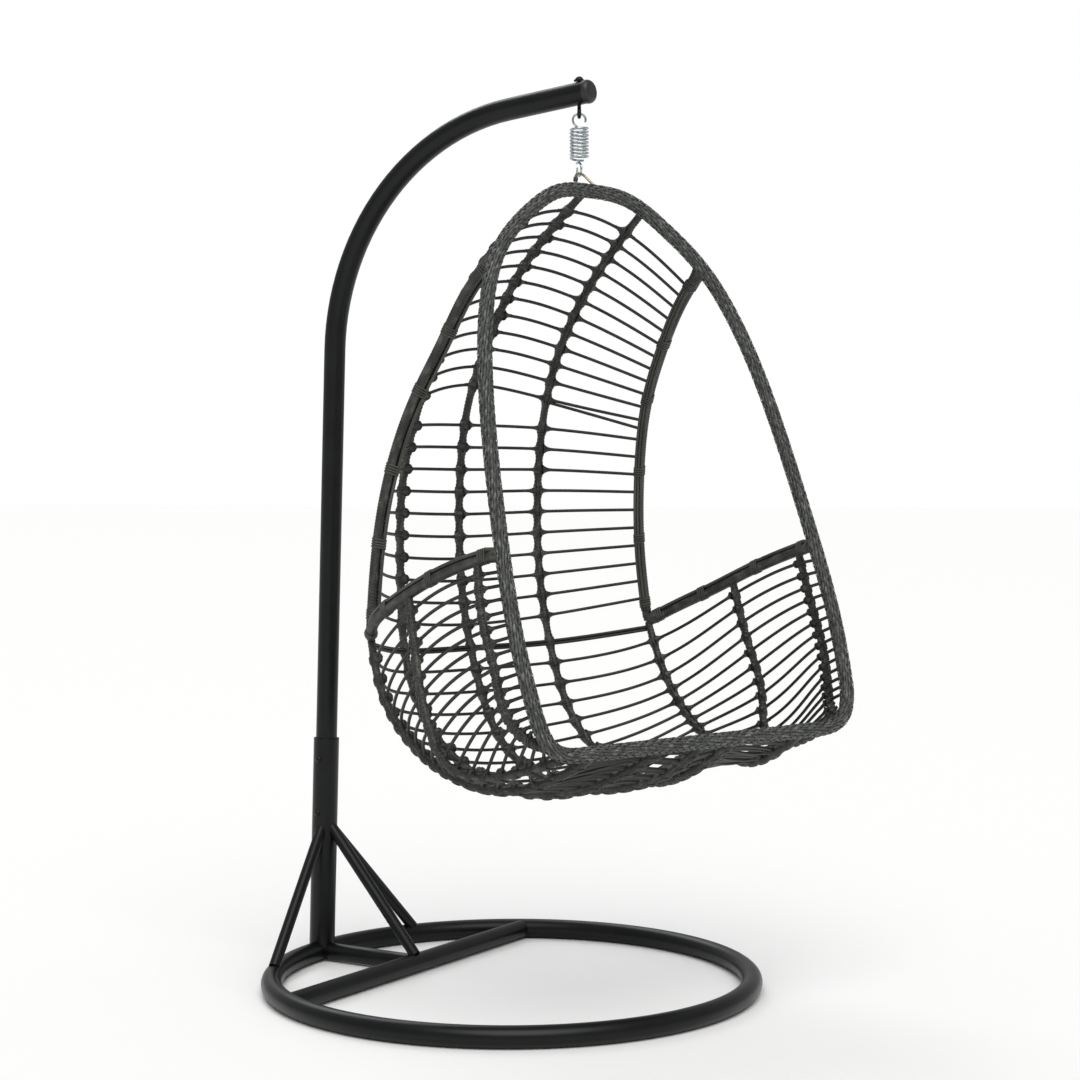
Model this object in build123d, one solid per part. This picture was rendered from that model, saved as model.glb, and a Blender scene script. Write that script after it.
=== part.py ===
from build123d import *
from math import cos, degrees, radians, sin, tan
import os

# Hanging egg chair: a woven teardrop seat on a spring, under the arm of a ring-footed stand.
# Millimetres. The origin is the centre of the base ring on the floor, +Z is up,
# the mast stands at +Y and its arm reaches towards -Y.

# ---- stand ----
RING_RADIUS = 520.0  # centreline of the base ring
RING_TUBE = 45.0
TUBE_WALL = 2.0
CROSSBAR_Y = 258.0
CROSSBAR_TUBE = 42.0
STRUT_TUBE = 38.0
SOCKET_TUBE = 58.0
SOCKET_WALL = 4.0
SOCKET_TOP = 512.0
MAST_TUBE = 48.0
MAST_LEAN = 1.8  # degrees from upright, towards the arm
MAST_STRAIGHT_TOP = 1400.0
MAST_BEND_RADIUS = 520.0
ARM_RISE = 5.4  # degrees above level
ARM_TIP_Y = -190.0
MAST_FOOT_Z = 120.0  # the mast stops inside the socket here
CAP_LENGTH = 16.0
BRACE_TUBE = 25.0
BRACE_SPREAD = 30.0  # degrees along the ring, each side of the post
BRACE_TOP_Z = 326.0
SCREW_HEIGHTS = (343.0, 466.0)

# ---- suspension, on the vertical hanging axis ----
HANG_Y = -172.0
EYE_WIRE = 8.0
EYE_RADIUS = 8.0  # centreline of the eye
EYE_Z = 1877.0
EYE_YAW = 33.0
SPRING_WIRE = 4.6
SPRING_RADIUS = 18.2  # centreline of the coil
SPRING_TOP = 1846.0
SPRING_TURNS = 9
SPRING_PITCH = 7.4
HOOK_RADIUS = 13.5  # centreline of both hooks
LOWER_HOOK_YAW = 50.0
LOOP_WIRE = 5.5
LOOP_TOP_Z = 1750.0
FIT_GAP = 0.5  # running clearance of a hook on its eye
NUT_CLEARANCE = 1.6  # the level nut clears the sloping arm as it turns

# ---- seat ----
SEAT_YAW = -17.0  # the seat hangs turned by this much about the hanging axis
RIM_CORE = 24.0
RIM_WRAP = 32.0
FRAME_CORE = 18.0  # uprights and armrests
FRAME_WRAP = 22.0
RIB_CORE = 8.0
RIB_WRAP = 19.0
ROD = 5.6
CANE = 7.0
ARM_CANE = 7.5
BACK_RODS = 22  # rods between the two uprights, above the armrests
PAIRED_ROD = 12  # this one has a second strand in its outer bays
HOOPS = 18  # rods under the armrests, from rim to rim
SHORT_HOOPS = 4  # the lowest of them stop at the front side ribs
PATH_STEPS = 22

# Guide points of the right half of the seat, in its own frame: x = 0 is the middle
# plane, y = 0 the hanging axis, -y the open front. Left pieces mirror the right ones.
RIM_SIDE = [
    (0, -20, 1712), (95, -39, 1700), (190, -54, 1648), (283, -78, 1567), (360, -125, 1423),
    (409, -190, 1217), (437, -260, 994), (448, -328, 779), (436, -371, 637),
]
FRONT_BAR_Y = -376.0
FRONT_BAR_Z = 579.0
FRONT_CORNER = [(413, 601), (386, 585), (353, 579)]  # x and z
UPRIGHT = [
    (290, -81, 1562), (303, 1, 1487), (313, 73, 1385), (332, 140, 1272), (359, 192, 1115),
    (379, 212, 949), (398, 206, 778),
]
ARMREST = [
    (398, 206, 774), (433, 147, 809), (453, 67, 845), (461, -87, 908), (454, -201, 944),
    (441, -269, 961),
]
CENTRE_RIB = [
    (0, -20, 1712), (0, 106, 1629), (0, 208, 1541), (0, 285, 1439), (0, 376, 1266),
    (0, 403, 1119), (0, 407, 976), (0, 390, 813), (0, 345, 665), (0, 264, 529),
    (0, 131, 459), (0, -19, 446), (0, -159, 467), (0, -285, 512), (0, -376, 579),
]
BACK_RIB = [
    (144, -47, 1679), (162, 103, 1575), (167, 225, 1440), (180, 315, 1277), (196, 361, 1094),
    (201, 363, 902), (210, 334, 722), (205, 259, 575), (187, 129, 483), (157, -31, 451),
    (121, -202, 487), (95, -376, 579),
]
REAR_SIDE_RIB = [
    (398, 206, 778), (404, 159, 663), (397, 72, 567), (378, -38, 508), (345, -152, 488),
    (314, -264, 516), (290, -376, 579),
]
MIDDLE_SIDE_RIB = [
    (461, -5, 876), (472, -46, 730), (474, -84, 621), (450, -117, 543), (418, -201, 526),
    (386, -286, 546), (356, -376, 579),
]
FRONT_SIDE_RIB = [
    (453, -211, 947), (464, -241, 829), (463, -275, 735), (453, -299, 651), (426, -334, 606),
    (402, -376, 594),
]
# Parts of the whole length: the ribs at armrest level, the rim side at the ends of the hoops.
CENTRE_RIB_ARM_LEVEL = 0.558
BACK_RIB_ARM_LEVEL = 0.557
HIGHEST_HOOP_END = 0.771
LOWEST_HOOP_END = 0.996


def mirrored(points):
    return [(-x, y, z) for x, y, z in points]


def samples(points, steps=PATH_STEPS, start=0.0, end=1.0):
    """Evenly spaced points on the smooth curve through the guide points."""
    curve = Spline(*points)
    places = [start + (end - start) * i / steps for i in range(steps + 1)]
    return [curve.position_at(t, position_mode=PositionMode.LENGTH) for t in
            [place * curve.length for place in places]]


def rounded_path(points):
    """Straight runs through the points, joined by the largest arcs that fit."""
    radii = []
    for before, corner, after in zip(points, points[1:], points[2:]):
        turn = radians((corner - before).get_angle(after - corner))
        run = min((corner - before).length, (after - corner).length)
        radii.append(0.45 * run / tan(turn / 2))
    return FilletPolyline(*points, radius=radii)


def bent_tube(points, outer, inner=0.0):
    """A round tube along the points; solid when it has no inner diameter."""
    points = [Vector(*p) for p in points]
    path = rounded_path(points)
    section = Plane(origin=points[0], z_dir=points[1] - points[0])
    tube = sweep(section * Circle(outer / 2), path=path)
    if inner:
        tube -= sweep(section * Circle(inner / 2), path=path)
    return tube


def straight_tube(start, end, outer, inner=0.0):
    start, end = Vector(*start), Vector(*end)
    section = Plane(origin=start, z_dir=end - start)
    profile = Circle(outer / 2)
    if inner:
        profile -= Circle(inner / 2)
    return extrude(section * profile, amount=(end - start).length)


def arc_rod(start, middle, end, diameter):
    """A solid rod along the circular arc through three points."""
    start, middle, end = Vector(*start), Vector(*middle), Vector(*end)
    arc = ThreePointArc(start, middle, end)
    centre = arc.arc_center
    normal = (start - centre).cross(middle - centre).normalized()
    sweep_angle = degrees(arc.length / arc.radius)
    section = Plane(origin=start, z_dir=normal.cross(start - centre))
    return revolve(section * Circle(diameter / 2), Axis(centre, normal), sweep_angle)


def group(pieces):
    """Separate solids that share one node."""
    return Compound(children=[solid for piece in pieces for solid in piece.solids()])


def on_hanging_axis(shape):
    """From the seat's own frame into the stand's frame."""
    return Pos(0, HANG_Y, 0) * Rot(0, 0, SEAT_YAW) * shape


# ---- stand pieces ----
def torus_tube(radius, outer, inner):
    return Torus(radius, outer / 2) - Torus(radius, inner / 2)


def base_ring():
    return Pos(0, 0, RING_TUBE / 2) * torus_tube(RING_RADIUS, RING_TUBE, RING_TUBE - 2 * TUBE_WALL)


def ring_bite():
    """The space that the base ring takes, for the tubes that are welded to it."""
    return Pos(0, 0, RING_TUBE / 2) * Torus(RING_RADIUS, RING_TUBE / 2)


def base_crossbar():
    half = (RING_RADIUS**2 - CROSSBAR_Y**2) ** 0.5
    z = RING_TUBE / 2
    inner = CROSSBAR_TUBE - 2 * TUBE_WALL
    bar = straight_tube((-half, CROSSBAR_Y, z), (half, CROSSBAR_Y, z), CROSSBAR_TUBE, inner)
    return largest(bar - ring_bite())


def largest(shape):
    return max(shape.solids(), key=lambda solid: solid.volume)


def base_strut():
    """Strut from the crossbar to the post, coped at both ends."""
    z = RING_TUBE / 2
    inner = STRUT_TUBE - 2 * TUBE_WALL
    strut = straight_tube((0, CROSSBAR_Y, z), (0, RING_RADIUS, z), STRUT_TUBE, inner)
    return largest(strut - ring_bite() - post_bite() - crossbar_bite())


def post_bite():
    return straight_tube(mast_point(0), mast_point(SOCKET_TOP), SOCKET_TUBE)


def crossbar_bite():
    z = RING_TUBE / 2
    half = 2 * CROSSBAR_TUBE
    return straight_tube((-half, CROSSBAR_Y, z), (half, CROSSBAR_Y, z), CROSSBAR_TUBE)


def mast_y(z):
    """Centreline of the leaning straight part of the mast at a height."""
    return RING_RADIUS - (z - RING_TUBE) * tan(radians(MAST_LEAN))


def mast_point(z):
    return Vector(0, mast_y(z), z)


def post_socket():
    """Lower post: the mast plugs into it, and its foot is coped onto the base ring."""
    low = mast_point(RING_TUBE / 2)
    tube = straight_tube(low, mast_point(SOCKET_TOP), SOCKET_TUBE, SOCKET_TUBE - 2 * SOCKET_WALL)
    pilots = [screw_shank(z, 7.0) for z in SCREW_HEIGHTS]
    body = tube - ring_bite() - pilots[0] - pilots[1]
    floor = Box(4 * RING_TUBE, 4 * RING_TUBE, RING_TUBE)
    return largest(body - Pos(0, RING_RADIUS, 0) * floor)


def screw_shank(z, diameter):
    """A cylinder from the mast's wall out through the -X side of the socket."""
    start = mast_point(z) - Vector(MAST_TUBE / 2 + 0.1, 0, 0)
    return straight_tube(start, start - Vector(9, 0, 0), diameter)


def socket_screws():
    """Two dome-headed clamp screws in the side of the socket."""
    screws = []
    for z in SCREW_HEIGHTS:
        head_plane = Plane(origin=mast_point(z) - Vector(SOCKET_TUBE / 2 + 0.1, 0, 0), z_dir=(-1, 0, 0))
        dome = head_plane * (Pos(0, 0, -3.5) * Sphere(8.5))
        below = head_plane * (Pos(0, 0, -10) * Box(30, 30, 20))
        screws.append(screw_shank(z, 6.0) + (dome - below))
    return group(screws)


def arc_end():
    """Where the mast's bend meets the straight arm, and the arm's direction."""
    lean, rise = radians(MAST_LEAN), radians(ARM_RISE)
    top = mast_point(MAST_STRAIGHT_TOP)
    centre = top + Vector(0, -cos(lean), -sin(lean)) * MAST_BEND_RADIUS
    end = centre + Vector(0, sin(rise), cos(rise)) * MAST_BEND_RADIUS
    return centre, end, Vector(0, -cos(rise), sin(rise))


def arm_point(y):
    _, end, direction = arc_end()
    return end + direction * ((y - end.Y) / direction.Y)


def mast():
    """One bent tube: leaning post, quarter bend and slightly rising arm."""
    foot, top, tip = mast_point(MAST_FOOT_Z), mast_point(MAST_STRAIGHT_TOP), arm_point(ARM_TIP_Y)
    centre, end, _ = arc_end()
    normal = Vector(1, 0, 0)
    angle = 90 - MAST_LEAN - ARM_RISE
    inner = MAST_TUBE - 2 * TUBE_WALL
    ring = Circle(MAST_TUBE / 2) - Circle(inner / 2)
    section = Plane(origin=top, z_dir=top - foot)
    bend = revolve(section * ring, Axis(centre, normal), angle)
    post = straight_tube(foot, top, MAST_TUBE, inner)
    arm = straight_tube(end, tip, MAST_TUBE, inner)
    tube = largest(post + bend + arm)
    return tube - bolt_hole()


def bolt_hole():
    hole_centre = arm_point(HANG_Y)
    return Pos(0, HANG_Y, hole_centre.Z) * Cylinder(4.3, 3 * MAST_TUBE)


def mast_end_cap():
    """Domed plastic cap with a collar, its spigot inside the arm."""
    tip = arm_point(ARM_TIP_Y)
    _, _, direction = arc_end()
    place = Plane(origin=tip, z_dir=direction)
    radius = MAST_TUBE / 2 + 1.2
    disc = Pos(0, 0, CAP_LENGTH / 2) * Cylinder(radius, CAP_LENGTH)
    head = fillet(disc.edges().group_by(Axis.Z)[-1], CAP_LENGTH * 0.8)
    spigot = Pos(0, 0, -4) * Cylinder(MAST_TUBE / 2 - TUBE_WALL - 0.2, 8)
    return place * (head + spigot)


def brace(foot, top):
    """A stay from the base up to the post, cut back to the tubes that it meets."""
    tube = straight_tube(foot, top, BRACE_TUBE, BRACE_TUBE - 2 * TUBE_WALL)
    z = RING_TUBE / 2
    strut = straight_tube((0, CROSSBAR_Y, z), (0, RING_RADIUS, z), STRUT_TUBE)
    return largest(tube - post_bite() - ring_bite() - crossbar_bite() - strut)


def side_brace(side):
    angle = radians(90 - side * BRACE_SPREAD)
    foot = (RING_RADIUS * cos(angle), RING_RADIUS * sin(angle), RING_TUBE * 0.9)
    return brace(foot, mast_point(BRACE_TOP_Z))


def front_brace():
    return brace((0, CROSSBAR_Y, RING_TUBE * 0.9), mast_point(BRACE_TOP_Z + 6))


# ---- suspension pieces ----
def nut_z():
    return arm_point(HANG_Y).Z + MAST_TUBE / 2 + NUT_CLEARANCE


def eye_bolt():
    """Shank through the arm, with a round eye below it."""
    eye_top = EYE_Z + EYE_RADIUS
    shank = Pos(0, HANG_Y, eye_top) * extrude(Circle(4.0), amount=nut_z() + 5 - eye_top)
    eye = Pos(0, HANG_Y, EYE_Z) * Rot(0, 0, EYE_YAW) * Rot(90, 0, 0) * Torus(EYE_RADIUS, EYE_WIRE / 2)
    return largest(shank + eye)


def eye_bolt_nut():
    """Domed nut that carries the eye bolt on top of the arm."""
    flange = Pos(0, 0, 1.5) * Cylinder(11.5, 3)
    dome = Pos(0, 0, 1.0) * Sphere(9.5) & Pos(0, 0, 15) * Box(40, 40, 30)
    bore = Pos(0, 0, 2.5) * Cylinder(4.0, 5)
    return Pos(0, HANG_Y, nut_z()) * (flange + dome - bore)


def spring_coil():
    height = SPRING_TURNS * SPRING_PITCH
    path = Helix(SPRING_PITCH, height, SPRING_RADIUS)
    section = Plane(origin=path @ 0, z_dir=path % 0) * Circle(SPRING_WIRE / 2)
    coil = sweep(section, path=path, is_frenet=True)
    return Pos(0, HANG_Y, SPRING_TOP - height) * coil


def hook(opening_from, opening_to):
    """An open ring in the XZ plane around its own centre; angles from +X, counter-clockwise."""
    start, end = radians(opening_to), radians(opening_from + 360)
    at = [Vector(cos(a), 0, sin(a)) * HOOK_RADIUS for a in (start, (start + end) / 2, end)]
    return arc_rod(*at, SPRING_WIRE)


def top_hook_z():
    return EYE_Z - EYE_RADIUS + EYE_WIRE / 2 + FIT_GAP + SPRING_WIRE / 2 - HOOK_RADIUS


def spring_top_hook():
    """Open hook through the eye, across the eye's plane, with a leg down to the coil."""
    z = top_hook_z()
    leg_top = Vector(-HOOK_RADIUS * sin(radians(50)), 0, z - HOOK_RADIUS * cos(radians(50)))
    foot = Vector(-2, 0, SPRING_TOP - 1)
    ring = Pos(0, 0, z) * hook(-130, -20)
    leg = straight_tube(leg_top, foot, SPRING_WIRE)
    cross = straight_tube(foot, Vector(SPRING_RADIUS - 1, 0, SPRING_TOP), SPRING_WIRE)
    joined = ring + leg + Pos(*foot) * Sphere(SPRING_WIRE / 2) + cross
    return Pos(0, HANG_Y, 0) * Rot(0, 0, EYE_YAW - 90) * largest(joined)


def lower_hook_z():
    return LOOP_TOP_Z - LOOP_WIRE / 2 - FIT_GAP - SPRING_WIRE / 2 + HOOK_RADIUS


def spring_lower_hook():
    """Stem under the coil and an open hook that carries the seat's loop."""
    z = lower_hook_z()
    coil_bottom = SPRING_TOP - SPRING_TURNS * SPRING_PITCH - 1.5
    ring = Pos(0, 0, z) * hook(25, 130)
    stem_low = Vector(cos(radians(130)), 0, sin(radians(130))) * HOOK_RADIUS + Vector(0, 0, z)
    stem_top = Vector(0, 0, coil_bottom - SPRING_WIRE)
    stem = straight_tube(stem_low, stem_top, SPRING_WIRE)
    cross = straight_tube(stem_top, Vector(SPRING_RADIUS - 1, 0, coil_bottom - SPRING_WIRE), SPRING_WIRE)
    joined = ring + stem + Pos(*stem_low) * Sphere(SPRING_WIRE / 2)
    joined = joined + Pos(*stem_top) * Sphere(SPRING_WIRE / 2) + cross
    return Pos(0, HANG_Y, 0) * Rot(0, 0, LOWER_HOOK_YAW) * largest(joined)


# ---- seat pieces, in the seat's own frame ----
def loop_points():
    rim_z = RIM_SIDE[0][2] + RIM_CORE / 2 - 3
    return [(-29, -20, rim_z), (-9, 0, LOOP_TOP_Z), (9, 0, LOOP_TOP_Z), (29, -20, rim_z)]


def hanging_loop():
    """Bent steel loop, welded on top of the rim."""
    return bent_tube(loop_points(), LOOP_WIRE)


def hanging_loop_wrap():
    """Weave wound round one leg of the loop."""
    foot, shoulder = (Vector(*p) for p in loop_points()[:2])
    start = foot + (shoulder - foot) * 0.28
    end = foot + (shoulder - foot) * 0.60
    return straight_tube(start, end, LOOP_WIRE + 5, LOOP_WIRE)


def rim_half_points():
    """From the top of the rim down its right side and along the front bar to the middle."""
    side = samples(RIM_SIDE, 20)
    side[1] = Vector(side[1].X, side[0].Y, side[0].Z)
    corner = [(x, FRONT_BAR_Y, z) for x, z in FRONT_CORNER]
    bar = [Vector(0, FRONT_BAR_Y, FRONT_BAR_Z)]
    return side + [Vector(*p) for p in corner] + bar


def both_halves(half):
    return half + mirror(half, Plane.YZ)


def rim_tube():
    """Bent steel hoop of the seat's mouth, one closed tube."""
    return largest(both_halves(bent_tube(rim_half_points(), RIM_CORE, RIM_CORE - 2 * TUBE_WALL)))


def rim_wrap():
    """Woven sleeve round the whole rim."""
    return largest(both_halves(bent_tube(rim_half_points(), RIM_WRAP, RIM_CORE)))


def inward(point):
    """Unit vector from a place on the basket towards the sitting space."""
    focus = Vector(0, -60, max(point.Z, 900))
    return (focus - point).normalized()


def beside(points, toward, along, across):
    """Points moved off a tube: along its outward face direction, and across it."""
    moved = []
    for i, point in enumerate(points):
        tangent = (points[min(i + 1, len(points) - 1)] - points[max(i - 1, 0)]).normalized()
        face = toward(point)
        face = (face - tangent * face.dot(tangent)).normalized()
        moved.append(point + face * along + tangent.cross(face) * across)
    return moved


def upwards(_):
    return Vector(0, 0, 1)


def canes(guide, toward, offsets, diameter, steps):
    """Smooth canes that lie side by side on a wrapped tube."""
    points = samples(guide, steps, 0.05, 0.97)
    lift = (FRAME_WRAP + diameter) / 2
    return group([bent_tube(beside(points, toward, lift, x), diameter) for x in offsets])


def band(guide, toward, place, width, depth, lift):
    """A short flat binding round a tube and its canes."""
    curve = Spline(*guide)
    point, tangent = curve @ place, curve % place
    face = toward(point)
    face = (face - tangent * face.dot(tangent)).normalized()
    plane = Plane(origin=point + face * lift - tangent * 11, x_dir=tangent.cross(face), z_dir=tangent)
    ring = RectangleRounded(width, depth, 9) - RectangleRounded(width - 3, depth - 3, 7.5)
    return extrude(plane * ring, amount=22)


def bindings(side):
    """All the bindings of one side: five on the upright and two on the armrest."""
    upright = UPRIGHT if side > 0 else mirrored(UPRIGHT)
    armrest = ARMREST if side > 0 else mirrored(ARMREST)
    pieces = [band(upright, inward, place, 28, 36, CANE / 2) for place in (0.24, 0.40, 0.60, 0.78, 0.95)]
    pieces += [band(armrest, upwards, place, 28, 36, ARM_CANE / 2) for place in (0.30, 0.62)]
    return group(pieces)


def frame_tube(guide):
    return bent_tube(samples(guide, 12), FRAME_CORE, FRAME_CORE - 2 * TUBE_WALL)


def frame_wrap(guide):
    return bent_tube(samples(guide, 12), FRAME_WRAP, FRAME_CORE)


def rib_core(guide):
    return bent_tube(samples(guide), RIB_CORE)


def rib_wrap(guide):
    return bent_tube(samples(guide, PATH_STEPS, 0.01, 0.99), RIB_WRAP, RIB_CORE)


def crossing(guide, place, core):
    """Where a rod crosses a rib or frame tube: on the tube's inner side."""
    curve = Spline(*guide)
    point = curve.position_at(place * curve.length, position_mode=PositionMode.LENGTH)
    return point + inward(point) * (core / 2)


def flipped(point):
    return Vector(-point.X, point.Y, point.Z)


def woven(stations):
    """A rod from side to side, as one arc from each rib to the next.

    The stations run from the middle plane outwards; the other side mirrors them.
    """
    nodes = [flipped(point) for point in stations[:0:-1]] + stations
    curve = Spline(*nodes)
    places = [curve.param_at_point(point) for point in nodes]
    spans = zip(nodes, nodes[1:], places, places[1:])
    return [arc_rod(start, curve @ ((a + b) / 2), end, ROD) for start, end, a, b in spans]


def back_places(number):
    """Parts of the lengths of the centre rib, back rib and upright where a back rod crosses."""
    if number <= PAIRED_ROD:
        k = number - 1
        return 0.0345 + 0.0212 * k, 0.0387 + 0.0212 * k, 0.0683 + 0.0360 * k
    k = number - PAIRED_ROD - 1
    return 0.3140 + 0.0243 * k, 0.3077 + 0.0243 * k, 0.5176 + 0.0470 * k


def back_rod(number):
    """One rod across the back, between the uprights."""
    centre, back, upright = back_places(number)
    stations = [
        crossing(CENTRE_RIB, centre, RIB_CORE + ROD),
        crossing(BACK_RIB, back, RIB_CORE + ROD),
        crossing(UPRIGHT, upright, FRAME_CORE),
    ]
    arcs = woven(stations)
    if number == PAIRED_ROD:
        below = Vector(0, 0, -ROD - 0.5)
        stations = [stations[0] + below, stations[1] + below, crossing(UPRIGHT, upright + 0.024, FRAME_CORE)]
        second = woven(stations)
        arcs += [second[0], second[-1]]
    return arcs


def foot_rods():
    """The doubled rod at armrest level, between the feet of the uprights."""
    stations = [
        crossing(CENTRE_RIB, CENTRE_RIB_ARM_LEVEL, RIB_CORE + ROD),
        crossing(BACK_RIB, BACK_RIB_ARM_LEVEL, RIB_CORE + ROD),
        Vector(*UPRIGHT[-1]) + Vector(0, 0, -14),
    ]
    lower = [point + Vector(0, 0, -9) for point in stations]
    return group(woven(stations) + woven(lower))


def hoop(number):
    """One hoop under the armrests; the lowest ones stop at the front side ribs."""
    t = number / (HOOPS + 1)
    down = 1.12 * t - 0.12 * t * t
    stations = [
        crossing(CENTRE_RIB, CENTRE_RIB_ARM_LEVEL + (1 - CENTRE_RIB_ARM_LEVEL) * down, RIB_CORE + ROD),
        crossing(BACK_RIB, BACK_RIB_ARM_LEVEL + (1 - BACK_RIB_ARM_LEVEL) * down, RIB_CORE + ROD),
        crossing(REAR_SIDE_RIB, 1.35 * t - 1.35 * t**2 + t**3, RIB_CORE + ROD),
        crossing(MIDDLE_SIDE_RIB, t, RIB_CORE + ROD),
        crossing(FRONT_SIDE_RIB, 1 - (1 - t) ** 1.3, RIB_CORE + ROD),
    ]
    if number <= HOOPS - SHORT_HOOPS:
        u = (number - 1) / (HOOPS - SHORT_HOOPS - 1)
        fall = (LOWEST_HOOP_END - HIGHEST_HOOP_END) * (1 - (1 - u) ** 1.15)
        stations.append(crossing(RIM_SIDE, HIGHEST_HOOP_END + fall, RIM_CORE))
    return woven(stations)


def rod_group(maker, numbers):
    return group([piece for number in numbers for piece in maker(number)])


def stand_nodes():
    return {
        "base_ring": base_ring(),
        "base_crossbar": base_crossbar(),
        "base_strut": base_strut(),
        "post_socket": post_socket(),
        "socket_screws": socket_screws(),
        "brace_left": side_brace(-1),
        "brace_right": side_brace(1),
        "brace_front": front_brace(),
        "mast": mast(),
        "mast_end_cap": mast_end_cap(),
    }


def suspension_nodes():
    return {
        "eye_bolt": eye_bolt(),
        "eye_bolt_nut": eye_bolt_nut(),
        "spring_coil": spring_coil(),
        "spring_top_hook": spring_top_hook(),
        "spring_lower_hook": spring_lower_hook(),
    }


def seat_nodes():
    nodes = {
        "hanging_loop": hanging_loop(),
        "hanging_loop_wrap": hanging_loop_wrap(),
        "rim_tube": rim_tube(),
        "rim_wrap": rim_wrap(),
        "rib_back_centre": rib_core(CENTRE_RIB),
        "rib_back_centre_wrap": rib_wrap(CENTRE_RIB),
        "back_rods_upper": rod_group(back_rod, range(1, 9)),
        "back_rods_middle": rod_group(back_rod, range(9, 16)),
        "back_rods_lower": rod_group(back_rod, range(16, BACK_RODS + 1)),
        "back_foot_rods": foot_rods(),
        "hoops_upper": rod_group(hoop, range(1, 6)),
        "hoops_middle": rod_group(hoop, range(6, 11)),
        "hoops_lower": rod_group(hoop, range(11, HOOPS - SHORT_HOOPS + 1)),
        "hoops_front_short": rod_group(hoop, range(HOOPS - SHORT_HOOPS + 1, HOOPS + 1)),
    }
    ribs = {
        "rib_back": BACK_RIB,
        "rib_side_rear": REAR_SIDE_RIB,
        "rib_side_middle": MIDDLE_SIDE_RIB,
        "rib_side_front": FRONT_SIDE_RIB,
    }
    for side, name in ((-1, "left"), (1, "right")):
        for rib, right_guide in ribs.items():
            guide = right_guide if side > 0 else mirrored(right_guide)
            nodes[f"{rib}_{name}"] = rib_core(guide)
            nodes[f"{rib}_{name}_wrap"] = rib_wrap(guide)
        upright = UPRIGHT if side > 0 else mirrored(UPRIGHT)
        armrest = ARMREST if side > 0 else mirrored(ARMREST)
        nodes[f"upright_{name}_tube"] = frame_tube(upright)
        nodes[f"upright_{name}_wrap"] = frame_wrap(upright)
        nodes[f"upright_{name}_canes"] = canes(upright, inward, (-CANE, 0, CANE), CANE, 10)
        nodes[f"armrest_{name}_tube"] = frame_tube(armrest)
        nodes[f"armrest_{name}_wrap"] = frame_wrap(armrest)
        across = ARM_CANE * 0.52
        nodes[f"armrest_{name}_canes"] = canes(armrest, upwards, (-across, across), ARM_CANE, 10)
        nodes[f"bindings_{name}"] = bindings(side)
    return {name: on_hanging_axis(shape) for name, shape in nodes.items()}


def main():
    os.makedirs("parts", exist_ok=True)
    for name, shape in (stand_nodes() | suspension_nodes() | seat_nodes()).items():
        export_step(shape, f"parts/{name}.step")


main()
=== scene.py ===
import math

import bpy
import numpy as np
from mathutils import Matrix, Vector


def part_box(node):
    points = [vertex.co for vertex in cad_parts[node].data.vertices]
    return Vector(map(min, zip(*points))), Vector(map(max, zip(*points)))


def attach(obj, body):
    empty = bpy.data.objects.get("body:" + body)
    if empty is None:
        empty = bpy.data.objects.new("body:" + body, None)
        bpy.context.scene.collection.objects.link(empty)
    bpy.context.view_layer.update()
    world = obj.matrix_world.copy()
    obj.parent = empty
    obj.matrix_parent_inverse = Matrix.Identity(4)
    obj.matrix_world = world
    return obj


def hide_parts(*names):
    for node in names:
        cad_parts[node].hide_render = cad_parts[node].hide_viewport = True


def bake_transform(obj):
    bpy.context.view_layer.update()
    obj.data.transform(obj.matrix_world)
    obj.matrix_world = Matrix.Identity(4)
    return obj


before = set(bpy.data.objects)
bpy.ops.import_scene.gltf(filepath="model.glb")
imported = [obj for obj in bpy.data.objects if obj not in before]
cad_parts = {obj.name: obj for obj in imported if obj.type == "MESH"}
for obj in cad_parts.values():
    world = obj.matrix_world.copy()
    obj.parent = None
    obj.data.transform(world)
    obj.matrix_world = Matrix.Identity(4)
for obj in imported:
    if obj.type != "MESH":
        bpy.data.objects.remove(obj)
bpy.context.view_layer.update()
RANDOM = np.random.default_rng(7)

# ---------------------------------------------------------------- sizes, in metres
MM = 0.001
HANG_Y = -0.172  # the hanging axis
SEAT_YAW = math.radians(-17)
MAST_LEAN = math.radians(1.8)
SOCKET_RADIUS = 0.029
RIM_CORE = 0.012  # the steel tubes and rods under the weave; these are radii, like all of these
RIM_RADIUS = 0.0150
FRAME_CORE = 0.009  # uprights and armrests
FRAME_RADIUS = 0.0107
RIB_CORE = 0.004
RIB_RADIUS = 0.0086
ROD_RADIUS = 0.0035
CANE_RADIUS = 0.0035
ARM_CANE_RADIUS = 0.00375
RIM_STRIPS = 14  # flat strips round the rim
STRIP_RUN = 0.020  # from one dive of a strip to the next
STRIP_TURNS = 4  # spiral turns of the strips round the whole rim
STRIP_WIDTH = 0.0052  # wound strips on ribs, uprights and armrests
KNOT_BULGE = 0.0048  # how much a rib swells where a rod passes through
KNOT_SIZE = {"centre": 1.0, "back": 1.0, "side_rear": 0.8, "side_middle": 0.55, "side_front": 0.35}
OUTER_FLATTENING = 0.7  # the part of the bulge that is missing on the outward side
TIE_LIFT = 0.35  # how much of the bulge the ties on that side follow
BACK_RODS = 22
PAIRED_ROD = 12  # it has a second strand in its outer bays
HOOPS = 18
SHORT_HOOPS = 4
FIRST_TRIPLE_HOOP = 12  # from here to the front bar, three strands between the rear side ribs
TRIPLE_STEP = 7.5  # millimetres along the ribs from strand to strand
UPRIGHT_BINDINGS = (0.06, 0.24, 0.40, 0.60, 0.78, 0.95)  # parts of the length
ARMREST_BINDINGS = (0.06, 0.30, 0.62, 0.92)
BINDING_TURNS = 4
BINDING_STEP = 5.4  # millimetres
CENTRE_RIB_ARM_LEVEL = 0.558  # parts of the ribs' lengths
BACK_RIB_ARM_LEVEL = 0.557
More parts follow.
